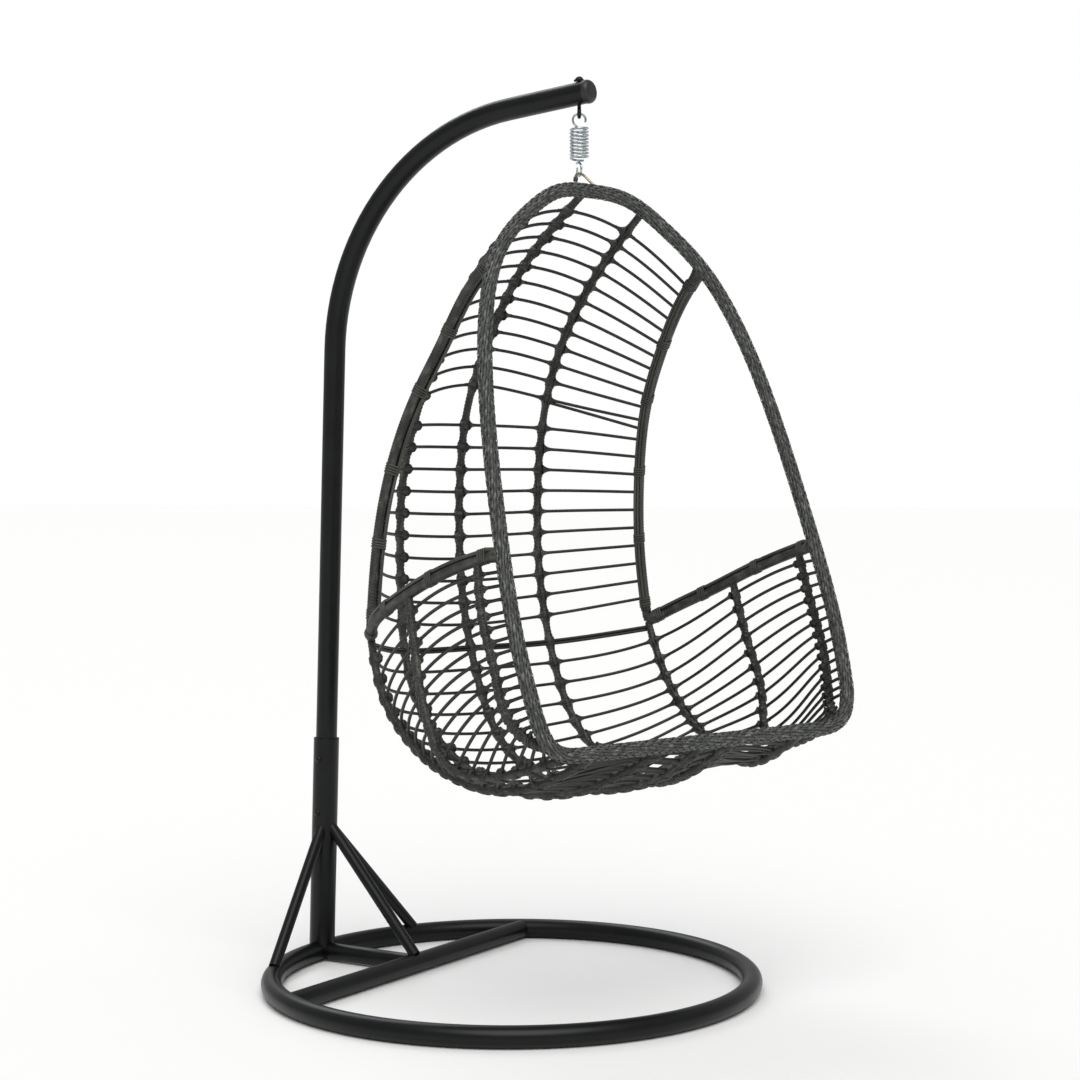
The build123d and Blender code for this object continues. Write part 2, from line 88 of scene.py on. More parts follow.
HIGHEST_HOOP_END = 0.771  # parts of the rim side's length
LOWEST_HOOP_END = 0.996
AMBIENT = 0.42  # how strongly the white surroundings light the object
SPRING_RADIUS = 0.0182
SPRING_WIRE = 0.0023
SPRING_TOP = 1.846
SPRING_TURNS = 9
SPRING_PITCH = 0.0074

# Guide points of the right half of the seat, in millimetres and in its own frame.
RIM_SIDE = [
    (0, -20, 1712), (95, -39, 1700), (190, -54, 1648), (283, -78, 1567), (360, -125, 1423),
    (409, -190, 1217), (437, -260, 994), (448, -328, 779), (436, -371, 637),
]
FRONT_BAR = [(413, -376, 601), (386, -376, 585), (353, -376, 579), (0, -376, 579)]
UPRIGHT = [
    (290, -81, 1562), (303, 1, 1487), (313, 73, 1385), (332, 140, 1272), (359, 192, 1115),
    (379, 212, 949), (398, 206, 778),
]
ARMREST = [
    (398, 206, 774), (433, 147, 809), (453, 67, 845), (461, -87, 908), (454, -201, 944),
    (441, -269, 961),
]
CENTRE_RIB = [
    (0, -20, 1712), (0, 106, 1629), (0, 208, 1541), (0, 285, 1439), (0, 376, 1266),
    (0, 403, 1119), (0, 407, 976), (0, 390, 813), (0, 345, 665), (0, 264, 529),
    (0, 131, 459), (0, -19, 446), (0, -159, 467), (0, -285, 512), (0, -376, 579),
]
BACK_RIB = [
    (144, -47, 1679), (162, 103, 1575), (167, 225, 1440), (180, 315, 1277), (196, 361, 1094),
    (201, 363, 902), (210, 334, 722), (205, 259, 575), (187, 129, 483), (157, -31, 451),
    (121, -202, 487), (95, -376, 579),
]
REAR_SIDE_RIB = [
    (398, 206, 778), (404, 159, 663), (397, 72, 567), (378, -38, 508), (345, -152, 488),
    (314, -264, 516), (290, -376, 579),
]
MIDDLE_SIDE_RIB = [
    (461, -5, 876), (472, -46, 730), (474, -84, 621), (450, -117, 543), (418, -201, 526),
    (386, -286, 546), (356, -376, 579),
]
FRONT_SIDE_RIB = [
    (453, -211, 947), (464, -241, 829), (463, -275, 735), (453, -299, 651), (426, -334, 606),
    (402, -376, 594),
]


# ---------------------------------------------------------------- curves
def spline(points, spacing):
    """Points at an even spacing on the natural cubic spline through the given points."""
    points = np.asarray(points, float)
    knots = np.r_[0, np.cumsum(np.linalg.norm(np.diff(points, axis=0), axis=1))]
    h = np.diff(knots)
    n = len(points)
    matrix = np.eye(n)
    right = np.zeros_like(points)
    for i in range(1, n - 1):
        matrix[i, i - 1 : i + 2] = h[i - 1], 2 * (h[i - 1] + h[i]), h[i]
        right[i] = 6 * ((points[i + 1] - points[i]) / h[i] - (points[i] - points[i - 1]) / h[i - 1])
    second = np.linalg.solve(matrix, right)
    fine = np.linspace(0, knots[-1], 40 * n)
    i = np.clip(np.searchsorted(knots, fine, side="right") - 1, 0, n - 2)
    a = ((knots[i + 1] - fine) / h[i])[:, None]
    b = 1 - a
    bend = ((a**3 - a) * second[i] + (b**3 - b) * second[i + 1]) * (h[i] ** 2)[:, None] / 6
    return even(a * points[i] + b * points[i + 1] + bend, spacing)


def lengths(path):
    return np.r_[0, np.cumsum(np.linalg.norm(np.diff(path, axis=0), axis=1))]


def even(path, spacing):
    s = lengths(path)
    places = np.linspace(0, s[-1], max(int(round(s[-1] / spacing)), 2) + 1)
    return np.stack([np.interp(places, s, path[:, k]) for k in range(3)], 1)


def at(path, place):
    """The point at a part of the path's length."""
    s = lengths(path)
    return np.array([np.interp(place * s[-1], s, path[:, k]) for k in range(3)])


def unit(v):
    return v / np.maximum(np.linalg.norm(v, axis=-1, keepdims=True), 1e-12)


def frames(path, closed=False):
    """Tangents and two side directions that turn as little as possible along the path."""
    if closed:
        tangent = unit(np.roll(path, -1, axis=0) - np.roll(path, 1, axis=0))
    else:
        tangent = unit(np.gradient(path, axis=0))
    side = np.zeros_like(path)
    first = np.cross(tangent[0], (0.0, 0.3, 1.0))
    side[0] = unit(first)
    for i in range(1, len(path)):
        v = side[i - 1] - tangent[i] * side[i - 1].dot(tangent[i])
        side[i] = unit(v)
    if closed:
        last = side[-1] - tangent[0] * side[-1].dot(tangent[0])
        drift = math.atan2(np.cross(last, side[0]).dot(tangent[0]), last.dot(side[0]))
        turn = drift * np.arange(len(path)) / len(path)
        other = np.cross(tangent, side)
        side = side * np.cos(turn)[:, None] + other * np.sin(turn)[:, None]
    return tangent, side, np.cross(tangent, side)


def to_world(points):
    """From the seat's own frame, in millimetres, into the row frame in metres."""
    points = np.asarray(points, float) * MM
    c, s = math.cos(SEAT_YAW), math.sin(SEAT_YAW)
    x, y, z = points[..., 0], points[..., 1], points[..., 2]
    return np.stack([x * c - y * s, x * s + y * c + HANG_Y, z], -1)


def mirrored(points):
    return [(-x, y, z) for x, y, z in points]


def inward(point):
    """Unit vector from a place on the basket, in millimetres, to the sitting space."""
    focus = np.array([0, -60, max(point[2], 900)], float)
    return unit(focus - np.asarray(point, float))


GUIDE_CACHE = {}


def guide_path(guide):
    key = tuple(guide)
    if key not in GUIDE_CACHE:
        GUIDE_CACHE[key] = spline(guide, 2.0)
    return GUIDE_CACHE[key]


def crossing(guide, place, reach):
    """Where a rod crosses a rib or frame tube: on the tube's inner side, in millimetres."""
    point = at(guide_path(guide), place)
    return point + inward(point) * reach / 2


# ---------------------------------------------------------------- meshes
class Builder:
    """Collects skins of rings into one mesh with a UV map along and across each strand."""

    def __init__(self):
        self.verts, self.faces, self.uvs, self.count = [], [], [], 0

    def rings(self, rings, closed=False, strand=0.0):
        n, m = rings.shape[:2]
        base = self.count
        self.verts.append(rings.reshape(-1, 3))
        s = lengths(rings.mean(1))
        across = 1 - np.abs(np.linspace(-1, 1, m, endpoint=False))
        u = np.repeat(s, m) + strand * 3.7
        v = np.tile(across, n) * 0.9 + strand * 5.3
        self.uvs.append(np.stack([u, v], 1))
        i, j = np.meshgrid(np.arange(n if closed else n - 1), np.arange(m), indexing="ij")
        i2, j2 = (i + 1) % n, (j + 1) % m
        quads = np.stack([i * m + j, i * m + j2, i2 * m + j2, i2 * m + j], -1).reshape(-1, 4)
        self.faces.extend((quads + base).tolist())
        if not closed:
            self.faces.append(list(range(base + m - 1, base - 1, -1)))
            last = base + (n - 1) * m
            self.faces.append(list(range(last, last + m)))
        self.count += n * m

    def tube(self, path, radius, sides=12, closed=False, strand=0.0):
        _, a, b = frames(path, closed)
        angle = np.linspace(0, 2 * np.pi, sides, endpoint=False)
        radius = np.broadcast_to(np.asarray(radius, float), (len(path),))
        ring = np.cos(angle)[None, :, None] * a[:, None] + np.sin(angle)[None, :, None] * b[:, None]
        self.rings(path[:, None] + ring * radius[:, None, None], closed, strand)

    def strip(self, path, face, width, thick, closed=False, strand=0.0):
        """A flat strip, slightly domed, lying on the path with the given outward directions."""
        if closed:
            tangent = unit(np.roll(path, -1, axis=0) - np.roll(path, 1, axis=0))
        else:
            tangent = unit(np.gradient(path, axis=0))
        face = unit(face - tangent * (face * tangent).sum(-1, keepdims=True))
        side = np.cross(tangent, face)
        profile = ((-0.5, 0.0), (-0.36, 0.8), (0.0, 1.0), (0.36, 0.8), (0.5, 0.0), (0.0, -0.5))
        rings = np.stack([path + side * x * width + face * y * thick for x, y in profile], 1)
        self.rings(rings, closed, strand)

    def piece(self, name, material, body="seat", replaces=(), smooth=True):
        mesh = bpy.data.meshes.new(name)
        verts = np.concatenate(self.verts)
        mesh.from_pydata(verts.tolist(), [], self.faces)
        uv = np.concatenate(self.uvs)
        layer = mesh.uv_layers.new(name="strand")
        index = np.zeros(len(mesh.loops), int)
        mesh.loops.foreach_get("vertex_index", index)
        layer.data.foreach_set("uv", uv[index].astype(np.float32).ravel())
        if smooth:
            mesh.polygons.foreach_set("use_smooth", np.ones(len(mesh.polygons), bool))
        mesh.validate()
        mesh.update()
        obj = bpy.data.objects.new(name, mesh)
        bpy.context.scene.collection.objects.link(obj)
        mesh.materials.append(material)
        if body:
            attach(obj, body)
        if replaces:
            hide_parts(*replaces)
        return obj


# ---------------------------------------------------------------- materials
def new_material(name, color, roughness, **sockets):
    material = bpy.data.materials.new(name)
    material.use_nodes = True
    shader = material.node_tree.nodes["Principled BSDF"]
    shader.inputs["Base Color"].default_value = (*color, 1)
    shader.inputs["Roughness"].default_value = roughness
    for key, value in sockets.items():
        shader.inputs[key.replace("_", " ")].default_value = value
    return material, shader


def noise(tree, coordinates, scale, detail, stretch=(1, 1, 1)):
    mapping = tree.nodes.new("ShaderNodeMapping")
    mapping.inputs["Scale"].default_value = stretch
    tree.links.new(coordinates, mapping.inputs["Vector"])
    texture = tree.nodes.new("ShaderNodeTexNoise")
    texture.inputs["Scale"].default_value = scale
    texture.inputs["Detail"].default_value = detail
    tree.links.new(mapping.outputs["Vector"], texture.inputs["Vector"])
    return texture.outputs["Fac"]


def ramp(tree, value, stops):
    node = tree.nodes.new("ShaderNodeValToRGB")
    elements = node.color_ramp.elements
    while len(elements) < len(stops):
        elements.new(0.5)
    for element, (place, color) in zip(elements, stops):
        element.position = place
        element.color = (*color, 1)
    tree.links.new(value, node.inputs["Fac"])
    return node.outputs["Color"]


def bump(tree, shader, height, strength, distance):
    node = tree.nodes.new("ShaderNodeBump")
    node.inputs["Strength"].default_value = strength
    node.inputs["Distance"].default_value = distance
    tree.links.new(height, node.inputs["Height"])
    tree.links.new(node.outputs["Normal"], shader.inputs["Normal"])


def roughness_from(tree, shader, value, low, high):
    node = tree.nodes.new("ShaderNodeMapRange")
    node.inputs["To Min"].default_value = low
    node.inputs["To Max"].default_value = high
    tree.links.new(value, node.inputs["Value"])
    tree.links.new(node.outputs["Result"], shader.inputs["Roughness"])


def resin_material(name, dark, middle, light, streak, grain):
    """Extruded resin: dark strips with lighter streaks along them and a fine grain."""
    material, shader = new_material(name, middle, 0.5)
    tree = material.node_tree
    uv = tree.nodes.new("ShaderNodeUVMap")
    uv.uv_map = "strand"
    coordinates = tree.nodes.new("ShaderNodeTexCoord").outputs["Object"]
    streaks = noise(tree, uv.outputs["UV"], 1.0, 6.0, streak)
    color = ramp(tree, streaks, ((0.30, dark), (0.52, middle), (0.72, light)))
    patches = noise(tree, coordinates, 9.0, 3.0)
    tone = ramp(tree, patches, ((0.3, (0.80, 0.80, 0.80)), (0.7, (1.0, 1.0, 1.0))))
    mix = tree.nodes.new("ShaderNodeMix")
    mix.data_type = "RGBA"
    mix.blend_type = "MULTIPLY"
    mix.inputs["Factor"].default_value = 1.0
    tree.links.new(color, mix.inputs["A"])
    tree.links.new(tone, mix.inputs["B"])
    tree.links.new(mix.outputs["Result"], shader.inputs["Base Color"])
    roughness_from(tree, shader, streaks, 0.38, 0.62)
    bump(tree, shader, noise(tree, uv.outputs["UV"], 1.0, 4.0, grain), 0.45, 0.0004)
    return material


def powder_coat():
    """Satin near-black powder coat: fine orange peel, faint dust and rubbed patches."""
    material, shader = new_material("powder_coat", (0.004, 0.0045, 0.0052), 0.36)
    shader.inputs["Specular IOR Level"].default_value = 0.25
    tree = material.node_tree
    coordinates = tree.nodes.new("ShaderNodeTexCoord").outputs["Object"]
    patches = noise(tree, coordinates, 14.0, 5.0)
    color = ramp(tree, patches, ((0.35, (0.0030, 0.0034, 0.0039)), (0.75, (0.0055, 0.0062, 0.0070))))
    tree.links.new(color, shader.inputs["Base Color"])
    roughness_from(tree, shader, patches, 0.26, 0.42)
    bump(tree, shader, noise(tree, coordinates, 1400.0, 2.0), 0.12, 0.0003)
    return material


def moulded_plastic():
    material, shader = new_material("end_cap_plastic", (0.012, 0.012, 0.013), 0.45)
    tree = material.node_tree
    coordinates = tree.nodes.new("ShaderNodeTexCoord").outputs["Object"]
    grain = noise(tree, coordinates, 700.0, 3.0)
    roughness_from(tree, shader, noise(tree, coordinates, 40.0, 3.0), 0.36, 0.52)
    bump(tree, shader, grain, 0.25, 0.0003)
    return material


def plated(name, light, dull):
    """Plated wire: bright metal, mottled by handling, drawn lines in the bump."""
    material, shader = new_material(name, light, 0.25, Metallic=1.0)
    tree = material.node_tree
    coordinates = tree.nodes.new("ShaderNodeTexCoord").outputs["Object"]
    mottle = noise(tree, coordinates, 120.0, 5.0)
    color = ramp(tree, mottle, ((0.35, dull), (0.65, light)))
    tree.links.new(color, shader.inputs["Base Color"])
    roughness_from(tree, shader, mottle, 0.18, 0.40)
    bump(tree, shader, noise(tree, coordinates, 900.0, 2.0), 0.15, 0.0002)
    return material


POWDER = powder_coat()
CAP = moulded_plastic()
ZINC = plated("bright_zinc", (0.62, 0.67, 0.69), (0.30, 0.34, 0.35))
YELLOW_ZINC = plated("yellow_zinc", (0.62, 0.58, 0.42), (0.33, 0.30, 0.20))
WEAVE = resin_material(
    "rim_weave", (0.012, 0.013, 0.012), (0.056, 0.060, 0.054), (0.230, 0.245, 0.228),
    streak=(50, 2.0, 1), grain=(60, 9, 1)
)
WRAP = resin_material(
    "wound_strip", (0.008, 0.009, 0.007), (0.026, 0.0275, 0.0225), (0.095, 0.100, 0.083),
    streak=(30, 2.6, 1), grain=(90, 8, 1)
)
CANE = resin_material(
    "smooth_cane", (0.024, 0.025, 0.021), (0.048, 0.050, 0.041), (0.100, 0.104, 0.086),
    streak=(7, 2.4, 1), grain=(25, 10, 1)
)
ROD = resin_material(
    "smooth_rod", (0.005, 0.0055, 0.0043), (0.010, 0.011, 0.0087), (0.028, 0.029, 0.023),
    streak=(9, 2.0, 1), grain=(40, 8, 1)
)


# ---------------------------------------------------------------- the woven seat
def rim_path():
    """The whole closed centreline of the rim, in metres."""
    side = guide_path(RIM_SIDE)
    corner = spline([side[-12], *FRONT_BAR[:3]], 2.0)[6:]
    half = np.concatenate([side[:-12], corner, [FRONT_BAR[3]]])
    half = even(half, 2.0)
    left = half[1:-1][::-1] * (-1, 1, 1)
    return smoothed(to_world(np.concatenate([half, left])), 6)


def smoothed(path, times):
    for _ in range(times):
        path = path * 0.5 + (np.roll(path, 1, axis=0) + np.roll(path, -1, axis=0)) * 0.25
    return path


def weave_sleeve(builder, path, radius, strips, length, turns):
    """Flat strips along a closed tube; each dives under a hidden band at every length."""
    _, a, b = frames(path, True)
    s = lengths(path)
    total = s[-1] + np.linalg.norm(path[0] - path[-1])
    bays = int(round(total / length))
    width = 2 * np.pi * radius / strips * 0.95
    for k in range(strips):
        angle = 2 * np.pi * (k / strips + turns * s / total)
        out = a * np.cos(angle)[:, None] + b * np.sin(angle)[:, None]
        place = s * bays / total + 0.5 * (k % 2) + 0.10 * np.sin(s * 5 + k * 2.4)
        gap = np.abs(place - np.round(place)) * length
        sink = 0.0024 * np.exp(-((gap / 0.0030) ** 2))
        swell = 0.0005 * np.cos(np.pi * gap / length)
        line = path + out * (radius - 0.0004 - sink - swell)[:, None]
        builder.strip(line, out, width * (1 + 0.04 * RANDOM.standard_normal()), 0.0010, True, 3.3 * k)
    builder.tube(path, radius - 0.0020, 16, True)


def swelling(s, bulges):
    """How much of the full bulge there is at each length; bulges are (length, spread) pairs."""
    swell = np.zeros(len(s))
    for centre, spread in bulges:
        swell = np.maximum(swell, np.exp(-(((s - centre) / spread) ** 2)))
    return swell


def rope(builder, path, radius, pitch, height, bulges=(), bulge=0.0, sides=14, outward=None):
    """A tube wound with one strip: a helical groove, domed ends, swelling at the bulges.

    The bulges are flatter on the outward side, when it is given.
    """
    before = lengths(path)
    path = even(path, pitch / 6)
    _, a, b = frames(path)
    s = lengths(path)
    angle = np.linspace(0, 2 * np.pi, sides, endpoint=False)
    turn = (s[:, None] / pitch + angle[None] / (2 * np.pi)) % 1
    profile = 1 - np.abs(2 * turn - 1) ** 3
    ring = np.cos(angle)[None, :, None] * a[:, None] + np.sin(angle)[None, :, None] * b[:, None]
    flat = 0.0
    if outward is not None:
        facing = np.stack([np.interp(s, before, outward[:, k]) for k in range(3)], 1)
        flat = OUTER_FLATTENING * np.clip((ring * unit(facing)[:, None]).sum(-1), 0, 1)
    r = radius - height + height * profile + (bulge * swelling(s, bulges))[:, None] * (1 - flat)
    from_end = np.minimum(s, s[-1] - s)
    r = r * np.sqrt(1 - (1 - np.clip(from_end / radius, 0.04, 1)) ** 2)[:, None]
    builder.rings(path[:, None] + ring * r[:, :, None], strand=RANDOM.random() * 30)


def cross_ties(builder, path, bulges, radius, bulge, outward):
    """Strips laid crosswise over the outside of a rib at each rod, from one knot to the next."""
    s = lengths(path)
    tangent, _, _ = frames(path)
    for centre, spread in bulges:
        i = int(np.clip(np.searchsorted(s, centre), 3, len(path) - 4))
        face = unit(outward[i] - tangent[i] * outward[i].dot(tangent[i]))
        side = np.cross(tangent[i], face)
        for slant in (-1, 1):
            for shift in (-0.0028, 0.0028):
                t = np.linspace(-1.3, 1.3, 15)
                out = side * np.sin(t)[:, None] + face * np.cos(t)[:, None]
                run = slant * t * 0.62 * spread + shift
                buried = 0.0040 * np.clip((np.abs(t) - 0.85) / 0.45, 0, 1) ** 2
                height = radius + 0.0003 + 0.0003 * slant + bulge * np.exp(-((run / spread) ** 2)) - buried
                line = path[i] + out * height[:, None] + tangent[i] * run[:, None]
                builder.strip(line, out, STRIP_WIDTH, 0.0009, strand=RANDOM.random() * 40)


def knot_sleeves(builder):
    """Pointed windings along a rod, each side of the rib that it crosses."""
    for centre, direction, size in SLEEVES:
        for sign in (-1, 1):
            n = 13
            u = np.linspace(0, 1, n)
            line = centre + direction * sign * (0.005 + 0.022 * size * u)[:, None]
            taper = ROD_RADIUS + 0.0001 + 0.0082 * size * (1 - u) ** 2.5
            ripple = 1 + 0.035 * np.cos(np.arange(n) * np.pi) * (1 - u)
            builder.tube(line, taper * ripple, 10, strand=RANDOM.random() * 40)


def back_places(number):
    """Parts of the lengths of the centre rib, back rib and upright where a back rod crosses."""
    if number <= PAIRED_ROD:
        k = number - 1
        return 0.0345 + 0.0212 * k, 0.0387 + 0.0212 * k, 0.0683 + 0.0360 * k
    k = number - PAIRED_ROD - 1
    return 0.3140 + 0.0243 * k, 0.3077 + 0.0243 * k, 0.5176 + 0.0470 * k


def rod_stations(kind, number):
    """Crossing points of a rod from the middle plane to its right end, with their ribs."""
    reach = 2 * RIB_CORE / MM + 2 * ROD_RADIUS / MM
    if kind == "back":
        centre, back, upright = back_places(number)
        return [
            ("centre", CENTRE_RIB, centre, reach),
            ("back", BACK_RIB, back, reach),
            ("end", UPRIGHT, upright, 2 * FRAME_CORE / MM),
        ]
    t = number / (HOOPS + 1)
    down = 1.12 * t - 0.12 * t * t
    stations = [
        ("centre", CENTRE_RIB, CENTRE_RIB_ARM_LEVEL + (1 - CENTRE_RIB_ARM_LEVEL) * down, reach),
        ("back", BACK_RIB, BACK_RIB_ARM_LEVEL + (1 - BACK_RIB_ARM_LEVEL) * down, reach),
        ("side_rear", REAR_SIDE_RIB, 1.35 * t - 1.35 * t**2 + t**3, reach),
        ("side_middle", MIDDLE_SIDE_RIB, t, reach),
        ("side_front", FRONT_SIDE_RIB, 1 - (1 - t) ** 1.3, reach),
    ]
    if number <= HOOPS - SHORT_HOOPS:
        u = (number - 1) / (HOOPS - SHORT_HOOPS - 1)
        fall = (LOWEST_HOOP_END - HIGHEST_HOOP_END) * (1 - (1 - u) ** 1.15)
        stations.append(("end", RIM_SIDE, HIGHEST_HOOP_END + fall, 2 * RIM_CORE / MM))
    return stations


KNOTS = {}  # rib name -> list of (place along the rib, side)
SLEEVES = []  # centre, direction and size of the winding on a rod at each rib


def strand(builder, half, radius=ROD_RADIUS):
    """A continuous rod through the stations and their mirror images; returns its path."""
    nodes = [p * (-1, 1, 1) for p in half[:0:-1]] + half
    path = spline(nodes, 6.0)
    s = np.linspace(0, 1, len(path))
    path = path + np.sin(np.pi * s)[:, None] * 0.35 * RANDOM.standard_normal(3)
    builder.tube(to_world(path), radius, 10, strand=RANDOM.random() * 40)
    return path


def woven_rod(builder, kind, number):
    stations = rod_stations(kind, number)
    half = [crossing(guide, place, reach) for _, guide, place, reach in stations]
    path = strand(builder, half)
    tangents = unit(np.gradient(path, axis=0))
    for index, (rib, _, place, _) in enumerate(stations):
        if rib == "end":
            continue
        for sign in ((1,) if rib == "centre" else (1, -1)):
            KNOTS.setdefault((rib, sign), []).append(place)
            centre = half[index] * (sign, 1, 1)
            nearest = np.linalg.norm(path - centre, axis=1).argmin()
            here = to_world(path[nearest])
            direction = unit(to_world(path[nearest] + tangents[nearest]) - here)
            SLEEVES.append((here, direction, KNOT_SIZE[rib] ** 0.4))
    if kind == "back" and number == PAIRED_ROD:
        second_strand(builder, half, stations)
    if kind == "hoop" and number >= FIRST_TRIPLE_HOOP:
        for shift in (-TRIPLE_STEP, TRIPLE_STEP):
            beside = []
            for _, guide, place, reach in stations[:3]:
                moved = place + shift / lengths(guide_path(guide))[-1]
                beside.append(crossing(guide, min(moved, 0.995), reach))
            strand(builder, beside, ROD_RADIUS + 0.0003)


def second_strand(builder, half, stations):
    """The paired rod parts towards the uprights, from the back ribs outwards."""
    drop = np.array([0, 0, -2 * ROD_RADIUS / MM - 0.5])
    _, guide, place, reach = stations[-1]
    low = [half[0] + drop, half[1] + drop, crossing(guide, place + 0.024, reach)]
    nodes = [p * (-1, 1, 1) for p in low[:0:-1]] + low
    path = spline(nodes, 6.0)
    for sign in (-1, 1):
        outer = path[sign * path[:, 0] >= low[1][0] - 12]
        builder.tube(to_world(outer), ROD_RADIUS, 10, strand=sign)


def rods():
    groups = {
        "back_rods_upper": ("back", range(1, 9)),
        "back_rods_middle": ("back", range(9, 16)),
        "back_rods_lower": ("back", range(16, BACK_RODS + 1)),
        "hoops_upper": ("hoop", range(1, 6)),
        "hoops_middle": ("hoop", range(6, 11)),
        "hoops_lower": ("hoop", range(11, HOOPS - SHORT_HOOPS + 1)),
        "hoops_front_short": ("hoop", range(HOOPS - SHORT_HOOPS + 1, HOOPS + 1)),
    }
    for node, (kind, numbers) in groups.items():
        builder = Builder()
        for number in numbers:
            woven_rod(builder, kind, number)
        builder.piece(f"{node}_smooth", ROD, replaces=[node])


def foot_rods():
    """The doubled rod at armrest level."""
    reach = 2 * (RIB_CORE + ROD_RADIUS) / MM
    half = [
        crossing(CENTRE_RIB, CENTRE_RIB_ARM_LEVEL, reach),
        crossing(BACK_RIB, BACK_RIB_ARM_LEVEL, reach),
        np.array(UPRIGHT[-1], float) + (0, 0, -14),
    ]
    builder = Builder()
    for drop in (0.0, 6.8):
        nodes = [p * (-1, 1, 1) for p in half[:0:-1]] + half
        path = spline([p - (0, 0, drop) for p in nodes], 6.0)
        builder.tube(to_world(path), ROD_RADIUS, 10, strand=drop)
    builder.piece("back_foot_rods_smooth", ROD, replaces=["back_foot_rods"])
    for rib, place in (("centre", CENTRE_RIB_ARM_LEVEL), ("back", BACK_RIB_ARM_LEVEL)):
        for sign in ((1,) if rib == "centre" else (1, -1)):
            KNOTS.setdefault((rib, sign), []).append(place)


def knot_bulges(places, length, rib):
    """Length and spread of each knot on a rib; near the front bar the knots run together."""
    gap = float(np.median(np.diff(places))) * length
    merged = places[-(HOOPS - FIRST_TRIPLE_HOOP + 1) :] if rib in ("centre", "back", "side_rear") else ()
    return [(place * length, (0.55 if place in merged else 0.27) * gap) for place in places]


def ribs():
    """Every rib: a spiral-wound strip with crossed ties where the rods pass."""
    table = {
        "centre": (CENTRE_RIB, {1: "rib_back_centre"}),
        "back": (BACK_RIB, {1: "rib_back_right", -1: "rib_back_left"}),
        "side_rear": (REAR_SIDE_RIB, {1: "rib_side_rear_right", -1: "rib_side_rear_left"}),
        "side_middle": (MIDDLE_SIDE_RIB, {1: "rib_side_middle_right", -1: "rib_side_middle_left"}),
        "side_front": (FRONT_SIDE_RIB, {1: "rib_side_front_right", -1: "rib_side_front_left"}),
    }
    for rib, (guide, names) in table.items():
        for sign, node in names.items():
            points = guide if sign > 0 else mirrored(guide)
            local = guide_path(points)
            path = to_world(local)
            outward = to_world(local + [-inward(p) for p in local]) - path
            bulges = knot_bulges(sorted(KNOTS[(rib, sign)]), lengths(path)[-1], rib)
            winding = Builder()
            bulge = KNOT_BULGE * KNOT_SIZE[rib]
            rope(winding, path, RIB_RADIUS, 0.0082, 0.0011, bulges, bulge, 14, outward)
            winding.piece(f"{node}_winding", WRAP, replaces=[node, f"{node}_wrap"])
            ties = Builder()
            cross_ties(ties, path, bulges, RIB_RADIUS, TIE_LIFT * bulge, outward)
            ties.piece(f"{node}_cross_ties", WRAP)


def knots():
    builder = Builder()
    knot_sleeves(builder)
    builder.piece("rod_knot_sleeves", WRAP)


def rim():
    builder = Builder()
    weave_sleeve(builder, rim_path(), RIM_RADIUS, RIM_STRIPS, STRIP_RUN, STRIP_TURNS)
    builder.piece("rim_weave", WEAVE, replaces=["rim_wrap", "rim_tube"])


def offset(local, toward, along, across):
    """Local points moved off a tube, towards its face and sideways, in millimetres."""
    tangent = unit(np.gradient(local, axis=0))
    face = np.array([toward(p) for p in local])
    face = unit(face - tangent * (face * tangent).sum(-1, keepdims=True))
    return local + face * along + np.cross(tangent, face) * across


def upwards(_):
    return np.array([0.0, 0.0, 1.0])


def frame_member(guide, name, toward, cane_offsets, cane_radius, flares, places):
    """An upright or armrest: wound tube, smooth canes on its face, and bindings round both.

    The winding flares out at the given parts of its length, and the canes come out from under
    a wound neck at the first binding.
    """
    local = guide_path(guide)
    flared = [(place * lengths(local)[-1] * MM, 0.022) for place in flares]
    winding = Builder()
    rope(winding, to_world(local), FRAME_RADIUS + 0.0003, 0.0068, 0.0009, flared, 0.0060, 18)
    neck = offset(local[: int(len(local) * places[0]) + 2], toward, cane_radius / MM, 0)
    neck_flare = 0.0050 if 0.0 in flares else 0.0
    rope(winding, to_world(neck), FRAME_RADIUS + cane_radius, 0.0062, 0.0010, [(0, 0.020)], neck_flare, 18)
    winding.piece(f"{name}_winding", WRAP, replaces=[f"{name}_wrap"])
    inner = local[int(len(local) * (places[0] - 0.01)) : int(len(local) * 0.975)]
    from_end = np.arange(len(inner)) / 6
    sunk = (1 - np.clip(np.minimum(from_end, from_end[::-1]), 0, 1))[:, None] ** 2
    lift = FRAME_RADIUS / MM + cane_radius / MM
    lift = lift - 2 * cane_radius / MM * sunk
    canes = Builder()
    for k, x in enumerate(cane_offsets):
        canes.tube(to_world(offset(inner, toward, lift, x)), cane_radius, 14, strand=k * 3.1)
    canes.piece(f"{name}_canes_smooth", CANE, replaces=[f"{name}_canes"])
    return [member_binding(guide, place, toward, cane_offsets, cane_radius) for place in places]


